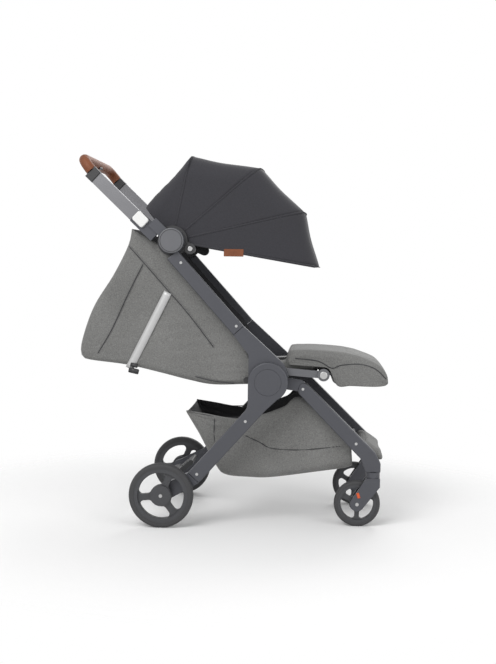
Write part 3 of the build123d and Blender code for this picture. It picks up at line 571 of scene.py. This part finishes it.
def hoop(angle, reach, half_width, start, corner=0.062, crown=0.004, drop=0.0):
    """Points over the stroller from one side to the other at an angle about the hinge."""
    reach -= drop
    half_width -= drop
    corner = min(corner, 0.4 * reach)
    side_steps, bend_steps, top_steps = 14, 8, 16
    side = [
        (start + (reach - corner - start) * k / side_steps, -half_width) for k in range(side_steps)
    ]
    bend = []
    for k in range(bend_steps + 1):
        turn = pi / 2 * k / bend_steps
        bend.append((reach - corner + corner * sin(turn), -half_width + corner * (1 - cos(turn))))
    inner = half_width - corner
    top = []
    for k in range(1, top_steps):
        share = -1 + 2 * k / top_steps
        top.append((reach + crown * (1 - share ** 2), -inner + 2 * inner * k / top_steps))
    profile = side + bend + top + [(r, -y) for r, y in reversed(side + bend)]
    turn = radians(angle)
    return [Vector((HINGE.x + r * cos(turn), y, HINGE.z + r * sin(turn))) for r, y in profile]


def gore_rows(first, second, start, dip):
    """Rows of one gore between two bows, dipping a little between them."""
    rows = []
    steps = 14
    for k in range(steps + 1):
        part = k / steps
        angle = first[0] + (second[0] - first[0]) * part
        reach = reach_between(first, second, angle) - dip * sin(pi * part) ** 2
        rows.append(hoop(angle, reach, CANOPY_HALF, start))
    return rows


def flap_reach(angle):
    for (a, near), (b, far) in zip(FLAP, FLAP[1:]):
        if a <= angle <= b:
            return near + (far - near) * (angle - a) / (b - a)
    return FLAP[-1][1]


class STROLLER_OT_canopy(Operator):
    """Fan canopy: bows, three gores, rear flap and seams"""

    bl_idname = "stroller.canopy"
    bl_label = "Canopy"

    def execute(self, context):
        cloth = FINISHES["black_fabric"]
        thickness = context.scene.stroller_sizes.cloth_thickness
        bodies = ("upper_frame", "canopy_second_bow", "canopy_third_bow", "canopy_front_bow")
        for number, (angle, reach) in enumerate(BOWS):
            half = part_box(f"canopy_bow_{number + 1}")[1].y - CLOTH_INSET
            line = hoop(angle, reach - BOW_DEPTH, half, BOW_START, corner=0.058)
            bow = tube(f"bow_{number + 1}", line, 0.004, FINISHES["black_plastic"], 8, 0.0014)
            settle(bow, bodies[number], "black_plastic", f"canopy_bow_{number + 1}")
        for number in range(3):
            first, second = BOWS[number], BOWS[number + 1]
            rows = gore_rows(first, second, GORE_START, GORE_DIP)
            gore = fabric(f"canopy_gore_{number + 1}", rows, cloth, thickness)
            declare_cloth(rows)
            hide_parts(f"canopy_panel_{number + 1}")
            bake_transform(gore)
        rows = []
        flap_steps = 24
        for k in range(flap_steps + 1):
            angle = FLAP[0][0] + (FLAP[-1][0] - FLAP[0][0]) * k / flap_steps
            reach = flap_reach(angle)
            rows.append(hoop(angle, reach, CANOPY_HALF, GORE_START, corner=0.045))
        flap = fabric("canopy_rear_flap", rows, cloth, thickness)
        declare_cloth(rows)
        settle(flap, "upper_frame", "black_fabric", "canopy_flap")
        self.sew(bodies)
        return {"FINISHED"}

    def sew(self, bodies):
        """A felled seam over each bow."""
        for number, (angle, reach) in enumerate(BOWS):
            line = hoop(angle, reach, CANOPY_HALF, SEAM_START, drop=-SEAM_LIFT)
            rib = tube(f"canopy_seam_{number + 1}", line, 0.0026, FINISHES["black_fabric"], 8, 0.0012)
            settle(rib, bodies[number], "black_fabric")


# Seat

# The side profile, as distances forward and up from the handle hinge
SEAT_BACK = (
    (-0.120, 0.033), (-0.130, -0.014), (-0.172, -0.099), (-0.228, -0.190), (-0.261, -0.284),
    (-0.264, -0.329), (-0.243, -0.343), (-0.132, -0.356), (-0.033, -0.377), (0.048, -0.396),
    (0.121, -0.408), (0.228, -0.404),
)
SEAT_RIM = (
    (-0.014, -0.024), (0.004, -0.044), (0.030, -0.073), (0.058, -0.104), (0.086, -0.135),
    (0.104, -0.155), (0.116, -0.168), (0.136, -0.190), (0.160, -0.214), (0.190, -0.248),
    (0.216, -0.310), (0.230, -0.372),
)


def from_hinge(points):
    return [(HINGE.x + x, HINGE.z + z) for x, z in points]


def bucket_rows(outer, rim, half, corner, count, wrinkle):
    """Rows across a cloth shell that runs from one rim, round its outer line, to the other rim."""
    wall_steps, bend_steps, floor_steps = 16, 6, 20
    outer = curve(flat(outer, 0.0), count)
    rim = curve(flat(rim, 0.0), count)
    rows = []
    for k, (low, high) in enumerate(zip(outer, rim)):
        height = (high - low).length
        up = (high - low).normalized() if height > 1e-6 else Vector((0, 0, 1))
        bend = min(corner, 0.45 * height)
        row = []
        for j in range(wall_steps):
            part = j / wall_steps
            point = high.lerp(low + up * bend, part)
            fold = wrinkle * sin(pi * part) * sin(9.0 * part + 0.55 * k)
            row.append(Vector((point.x, -half + abs(fold), point.z)))
        for j in range(bend_steps + 1):
            turn = pi / 2 * j / bend_steps
            row.append(low + up * bend * (1 - sin(turn)) + Vector((0, -half + bend * (1 - cos(turn)), 0)))
        inner = half - bend
        for j in range(1, floor_steps):
            share = -1 + 2 * j / floor_steps
            sag = 0.6 * wrinkle * (1 - share * share)
            row.append(low - up * sag + Vector((0, inner * share, 0)))
        half_row = row[: wall_steps + bend_steps + 1]
        row += [Vector((p.x, -p.y, p.z)) for p in reversed(half_row)]
        rows.append(row)
    return rows


def gather_seat(piece):
    """Attach a seat piece to the upper frame, with a mesh of its own."""
    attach(piece, "upper_frame")
    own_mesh(piece)


class STROLLER_OT_seat(Operator):
    """Grey cloth shell of the seat, with its dark lining"""

    bl_idname = "stroller.seat"
    bl_label = "Seat shell"

    def execute(self, context):
        thickness = context.scene.stroller_sizes.cloth_thickness
        rows = bucket_rows(
            from_hinge(SEAT_BACK), from_hinge(SEAT_RIM), SEAT_HALF, corner=0.022, count=60, wrinkle=0.003
        )
        shell = fabric("seat_cloth", rows, FINISHES["grey_fabric"], thickness)
        declare_cloth(rows)
        line_inside(shell, Vector((HINGE.x - 0.02, 0.0, HINGE.z - 0.24)), FINISHES["dark_fabric"])
        gather_seat(shell)
        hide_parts("seat_shell")
        return {"FINISHED"}


# Basket

# The side profile, as places forward and up
BASKET_FLOOR = (
    (-0.133, 0.316), (-0.090, 0.236), (-0.046, 0.156), (-0.018, 0.131), (0.050, 0.1255),
    (0.118, 0.127), (0.250, 0.147), (0.330, 0.160), (0.350, 0.169),
)
BASKET_RIM = (
    (-0.133, 0.320), (-0.080, 0.313), (-0.020, 0.303), (0.020, 0.300), (0.060, 0.305),
    (0.100, 0.318), (0.150, 0.338), (0.207, 0.362), (0.346, 0.223),
)


class STROLLER_OT_basket(Operator):
    """Cloth basket that hangs between the legs, with its seams"""

    bl_idname = "stroller.basket"
    bl_label = "Basket"

    def execute(self, context):
        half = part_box("basket")[1].y - CLOTH_INSET
        thickness = context.scene.stroller_sizes.cloth_thickness
        rows = bucket_rows(BASKET_FLOOR, BASKET_RIM, half, corner=0.03, count=56, wrinkle=0.004)
        basket = fabric("basket_cloth", rows, FINISHES["grey_fabric"], thickness)
        declare_cloth(rows)
        line_inside(basket, Vector((0.09, 0.0, 0.25)), FINISHES["dark_fabric"])
        self.gather(basket)
        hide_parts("basket")
        seams = []
        for side in (-1, 1):
            y = side * (half - 0.0012)
            for points in (
                ((0.040, 0.250), (0.083, 0.231), (0.117, 0.215), (0.206, 0.213), (0.313, 0.226)),
                ((-0.050, 0.300), (-0.052, 0.265), (-0.050, 0.227)),
                ((-0.125, 0.318), (-0.020, 0.302), (0.100, 0.317), (0.205, 0.360)),
            ):
                seams.append(tube("seam", curve(flat(points, y), 30), 0.0013, FINISHES["piping"], 6))
        piping = join("basket_seams", seams)
        self.gather(piping)
        return {"FINISHED"}

    def gather(self, piece):
        """Attach a basket piece to the rear frame, with a mesh of its own."""
        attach(piece, "rear_frame")
        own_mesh(piece)


# Pads

# The voxel of a pad's even mesh in metres, and the pressure and length of its simulation
PAD_VOXEL = 0.005
PAD_PRESSURE = 4.0
PAD_FRAMES = 20


def swell(context, node, name, material):
    """A pad grown from its plain solid: fine even mesh, a short cloth simulation, one subdivision."""
    source = frame["nodes"][node]
    piece = bpy.data.objects.new(name, source.data.copy())
    context.scene.collection.objects.link(piece)
    work = bmesh.new()
    work.from_mesh(piece.data)
    bmesh.ops.remove_doubles(work, verts=work.verts, dist=0.0001)
    work.to_mesh(piece.data)
    work.free()
    even = piece.modifiers.new("even", "REMESH")
    even.mode = "VOXEL"
    even.voxel_size = PAD_VOXEL
    apply_modifiers(piece)
    relax = piece.modifiers.new("relax", "SMOOTH")
    relax.factor = 0.5
    relax.iterations = 12
    apply_modifiers(piece)
    inflate(context, piece, context.scene.stroller_sizes.pad_swell)
    round_off = piece.modifiers.new("round", "SUBSURF")
    round_off.levels = round_off.render_levels = 1
    apply_modifiers(piece)
    piece.data.materials.clear()
    piece.data.materials.append(material)
    return piece


def inflate(context, piece, cap):
    """Cloth pressure for a few frames, with each point's move capped."""
    rest = [vertex.co.copy() for vertex in piece.data.vertices]
    cloth = piece.modifiers.new("cloth", "CLOTH")
    cloth.settings.use_pressure = True
    cloth.settings.uniform_pressure_force = PAD_PRESSURE
    cloth.settings.effector_weights.gravity = 0.0
    context.scene.frame_start = 1
    for number in range(1, PAD_FRAMES + 1):
        context.scene.frame_set(number)
    apply_modifiers(piece)
    for vertex, start in zip(piece.data.vertices, rest):
        move = vertex.co - start
        if move.length > cap:
            vertex.co = start + move * (cap / move.length)
    context.scene.frame_set(1)


# The leg rest cover's side profile, as places forward and up
COVER_TOP = (
    (0.160, 0.466), (0.164, 0.497), (0.205, 0.502), (0.245, 0.502), (0.285, 0.500), (0.325, 0.496),
    (0.365, 0.487), (0.405, 0.471), (0.430, 0.454), (0.444, 0.432), (0.446, 0.412),
)
COVER_RIM = (
    (0.162, 0.460), (0.172, 0.459), (0.205, 0.457), (0.245, 0.455), (0.278, 0.448), (0.302, 0.402),
    (0.340, 0.402), (0.380, 0.401), (0.412, 0.401), (0.436, 0.404), (0.445, 0.410),
)
COVER_SEAM = (
    (0.180, 0.478), (0.245, 0.472), (0.285, 0.452), (0.312, 0.461), (0.365, 0.465),
    (0.410, 0.452), (0.440, 0.425),
)


class STROLLER_OT_pads(Operator):
    """Seat, backrest, leg rest and foot pads, and the cover of the leg rest"""

    bl_idname = "stroller.pads"
    bl_label = "Pads"

    def execute(self, context):
        table = (
            ("seat_cushion", "seat_pad", "upper_frame", 0.6),
            ("backrest_pad", "back_pad", "backrest", 0.6),
            ("legrest_cushion", "leg_pad", "legrest", 0.7),
            ("foot_panel", "foot_pad", "front_frame", 0.5),
        )
        for node, name, body, fill in table:
            pad = swell(context, node, name, FINISHES["grey_fabric"])
            settle(pad, body, "grey_fabric", node)
        self.cover(context)
        return {"FINISHED"}

    def cover(self, context):
        """One cloth cover over the seat's front roll and the leg rest, with its side piping."""
        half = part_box("legrest_cushion")[1].y + 0.008
        rows = bucket_rows(COVER_TOP, COVER_RIM, half, corner=0.02, count=44, wrinkle=0.0015)
        thickness = context.scene.stroller_sizes.cloth_thickness
        cover = fabric("leg_rest_cover", rows, FINISHES["grey_fabric"], thickness)
        declare_cloth(rows)
        beads = []
        for side in (-1, 1):
            line = curve(flat(COVER_SEAM, side * (half + 0.0004)), 34)
            beads.append(tube("bead", line, 0.0014, FINISHES["piping"], 6))
        piping = join("leg_rest_piping", beads)
        for piece in (cover, piping):
            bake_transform(piece)


# Trim


class STROLLER_OT_seat_trim(Operator):
    """Seams, stitches, reflective straps and buckles of the seat cloth"""

    bl_idname = "stroller.seat_trim"
    bl_label = "Seat trim"

    def execute(self, context):
        pitch = context.scene.stroller_sizes.stitch_pitch
        y = SEAT_HALF + 0.0012
        band = from_hinge(
            ((-0.126, -0.016), (-0.097, -0.047), (-0.020, -0.132), (0.047, -0.207), (0.120, -0.300))
        )
        pipe = from_hinge(((-0.085, -0.068), (-0.130, -0.160), (-0.173, -0.255), (-0.213, -0.324)))
        hem = from_hinge(((0.069, -0.385), (0.125, -0.397), (0.181, -0.402)))
        seams, threads = [], []
        for side in (-1, 1):
            for points in (band, pipe, hem):
                line = curve(flat(points, side * y), 44)
                seams.append(tube("seam", line, 0.0012, FINISHES["piping"], 6, 0.0008))
                threads.append([point + Vector((0.0032, side * 0.0004, 0.0032)) for point in line])
        rib = join("seat_seams", seams)
        thread = stitches("seat_stitches", threads, FINISHES["dark_thread"], pitch)
        straps = [self.strap(side * (y + 0.0006), side) for side in (-1, 1)]
        strap = join("reflective_straps", straps)
        for piece in (rib, thread, strap):
            gather_seat(piece)
        buckles = []
        for side in (-1, 1):
            for x, z, length, width in ((-0.108, -0.372, 0.030, 0.015), (-0.107, -0.356, 0.022, 0.012)):
                centre = (HINGE.x + x, side * (y + 0.003), HINGE.z + z)
                buckles.append(slab(centre, length, width, 0.0035, -12))
        clips = join("strap_buckles", buckles)
        gather_seat(clips)
        return {"FINISHED"}

    def strap(self, y, side):
        """Flat webbing down the cloth from the side tube to the underside."""
        top = Vector((HINGE.x - 0.012, y, HINGE.z - 0.146))
        foot = Vector((HINGE.x - 0.121, y, HINGE.z - 0.366))
        across = (foot - top).normalized().cross(Vector((0, 1, 0))) * 0.0115
        rows = []
        for k in range(24):
            point = top.lerp(foot, k / 23)
            rows.append([point - across, point, point + across])
        return fabric("strap", rows, FINISHES["reflective"], 0.0011)


class STROLLER_OT_details(Operator):
    """Hub and hinge rings, tyre tread, fork marks and the canopy's leather patch"""

    bl_idname = "stroller.details"
    bl_label = "Details"

    def execute(self, context):
        ring_pair("hub_rings", HUB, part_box("hub_casings")[1].y, 0.039, 0.0009, "upper_frame")
        ring_pair("hinge_rings", HINGE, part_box("hinge_caps")[1].y, 0.031, 0.0008, "handle")
        for end in ("front", "rear"):
            for name, side in SIDES:
                self.tread(end, name)
        for name, side in SIDES:
            self.release_mark(name, side)
        self.patch()
        return {"FINISHED"}

    def tread(self, end, name):
        """Shallow ribs round the running face of a tyre."""
        low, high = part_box(f"{end}_tyre_{name}")
        centre = (low + high) / 2
        radius = (high.z - low.z) / 2
        bead = 0.0011
        ribs = [
            ring((centre.x, centre.y + shift * (high.y - low.y), centre.z), radius - bead, bead, "rubber")
            for shift in (-0.2, 0.0, 0.2)
        ]
        settle(join(f"{end}_tread_{name}", ribs), f"{end}_wheel_{name}", "rubber")

    def release_mark(self, name, side):
        """Small orange mark on the outside of a caster fork."""
        low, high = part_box(f"caster_fork_{name}")
        axle = Vector(JOINTS[f"front_wheel_spin_{name}"]["pos_m"])
        outer = low.y if side < 0 else high.y
        centre = (axle.x + 0.003, outer + side * 0.0006, axle.z + 0.026)
        mark = slab(centre, 0.008, 0.016, 0.002, 18, "orange_plastic", 0.0008)
        mark.name = mark.data.name = f"release_mark_{name}"
        settle(mark, f"caster_{name}", "black_plastic")

    def patch(self):
        """Bare leather patch on the right lower side of the canopy."""
        y = CANOPY_HALF + 0.0014
        centre = (HINGE.x + 0.174, -y, HINGE.z - 0.0315)
        patch = slab(centre, 0.056, 0.021, 0.0018, 0, "leather", 0.0008)
        patch.name = patch.data.name = "canopy_patch"
        settle(patch, "canopy_third_bow", "leather")


# Stage

# The camera: focal length in millimetres, azimuth, elevation and roll in degrees, place in metres
CAMERA_LENS = 57.63
CAMERA_ANGLES = (3.81, 3.52, 0.83)
CAMERA_PLACE = (0.2458, -3.18, 0.7392)


class STROLLER_OT_stage(Operator):
    """Pale floor, soft lamps and the camera"""

    bl_idname = "stroller.stage"
    bl_label = "Stage"

    def execute(self, context):
        reach = 12.0
        corners = [(-reach, -reach, 0), (reach, -reach, 0), (reach, reach, 0), (-reach, reach, 0)]
        material = self.paper()
        floor = finish_mesh("floor", corners, [(0, 1, 2, 3)], material, smooth=False)
        self.world(context)
        for name, place, target, size, power in (
            ("key", (-1.3, -2.4, 2.6), (0, 0, 0.5), 2.2, 62.0),
            ("fill", (2.4, -2.2, 1.5), (0.1, 0, 0.5), 2.4, 26.0),
            ("back", (0.6, 2.4, 2.4), (0, 0, 0.6), 2.0, 34.0),
        ):
            self.lamp(context, name, place, target, size, power)
        self.camera(context)
        context.scene.view_settings.view_transform = "Standard"
        return {"FINISHED"}

    def paper(self):
        """White paper that fades into the background away from the object's shadow."""
        finish = Finish("floor")
        distance = finish.node("ShaderNodeVectorMath", {"operation": "LENGTH"}, {0: finish.place}, 1)
        fade = finish.node(
            "ShaderNodeMapRange", {"interpolation_type": "SMOOTHSTEP"},
            {"Value": distance, "From Min": 0.62, "From Max": 1.25, "To Min": 0.0, "To Max": 1.0},
        )
        matt = finish.node("ShaderNodeBsdfDiffuse", None, {"Color": (0.93, 0.93, 0.93, 1.0)})
        clear = finish.node("ShaderNodeBsdfTransparent", None, {})
        both = finish.node("ShaderNodeMixShader", None, {0: fade, 1: matt, 2: clear})
        finish.node("ShaderNodeOutputMaterial", None, {"Surface": both})
        return finish.material

    def world(self, context):
        """Even light on the object, and white where the background itself is seen."""
        world = bpy.data.worlds.new("studio")
        world.use_nodes = True
        context.scene.world = world
        tree = world.node_tree
        tree.nodes.clear()
        path = tree.nodes.new("ShaderNodeLightPath")
        seen = Wire(tree, path.outputs["Is Camera Ray"]) + Wire(tree, path.outputs["Is Glossy Ray"])
        seen = seen + Wire(tree, path.outputs["Is Transmission Ray"])
        seen = seen.math("MINIMUM", seen, 1.0)
        light = make_node(
            tree, "ShaderNodeBackground", None, {"Color": (1, 1, 1, 1), "Strength": seen * 0.45 + 0.55}
        )
        make_node(tree, "ShaderNodeOutputWorld", None, {"Surface": light})

    def lamp(self, context, name, place, target, size, power):
        data = bpy.data.lights.new(name, "AREA")
        data.shape = "DISK"
        data.size = size
        data.energy = power
        lamp = bpy.data.objects.new(name, data)
        lamp.location = place
        lamp.rotation_euler = (Vector(target) - Vector(place)).to_track_quat("-Z", "Y").to_euler()
        context.scene.collection.objects.link(lamp)

    def camera(self, context):
        data = bpy.data.cameras.new("camera")
        data.lens = CAMERA_LENS
        data.sensor_width = 36.0
        azimuth, elevation, roll = (radians(angle) for angle in CAMERA_ANGLES)
        back = Vector((sin(azimuth) * cos(elevation), -cos(azimuth) * cos(elevation), sin(elevation)))
        right = Vector((cos(azimuth), sin(azimuth), 0.0))
        up = back.cross(right)
        turned = right * cos(roll) + up * sin(roll)
        risen = up * cos(roll) - right * sin(roll)
        place = Matrix((turned, risen, back)).transposed().to_4x4()
        place.translation = Vector(CAMERA_PLACE)
        camera = bpy.data.objects.new("camera", data)
        camera.matrix_world = place
        context.scene.collection.objects.link(camera)
        context.scene.camera = camera


# Panel and registration


class STROLLER_PT_panel(Panel):
    """Sizes, colours and pieces"""

    bl_idname = "STROLLER_PT_panel"
    bl_label = "Stroller"
    bl_space_type = "VIEW_3D"
    bl_region_type = "UI"
    bl_category = "Stroller"

    def draw(self, context):
        for group in (context.scene.stroller_sizes, context.scene.stroller_colours):
            for name in group.bl_rna.properties.keys():
                if name not in ("rna_type", "name"):
                    self.layout.prop(group, name)
        for operator in OPERATORS:
            self.layout.operator(operator.bl_idname)


OPERATORS = (
    STROLLER_OT_finishes,
    STROLLER_OT_canopy,
    STROLLER_OT_seat,
    STROLLER_OT_seat_trim,
    STROLLER_OT_basket,
    STROLLER_OT_pads,
    STROLLER_OT_details,
    STROLLER_OT_stage,
)
CLASSES = (StrollerSizes, StrollerColours, *OPERATORS, STROLLER_PT_panel)


def register():
    for item in CLASSES:
        bpy.utils.register_class(item)
    bpy.types.Scene.stroller_sizes = PointerProperty(type=StrollerSizes)
    bpy.types.Scene.stroller_colours = PointerProperty(type=StrollerColours)


def unregister():
    del bpy.types.Scene.stroller_colours
    del bpy.types.Scene.stroller_sizes
    for item in reversed(CLASSES):
        bpy.utils.unregister_class(item)


def main():
    register()
    bpy.ops.stroller.finishes()
    bpy.ops.stroller.canopy()
    bpy.ops.stroller.seat()
    bpy.ops.stroller.seat_trim()
    bpy.ops.stroller.basket()
    bpy.ops.stroller.pads()
    bpy.ops.stroller.details()
    bpy.ops.stroller.stage()


if __name__ == "__main__":
    main()
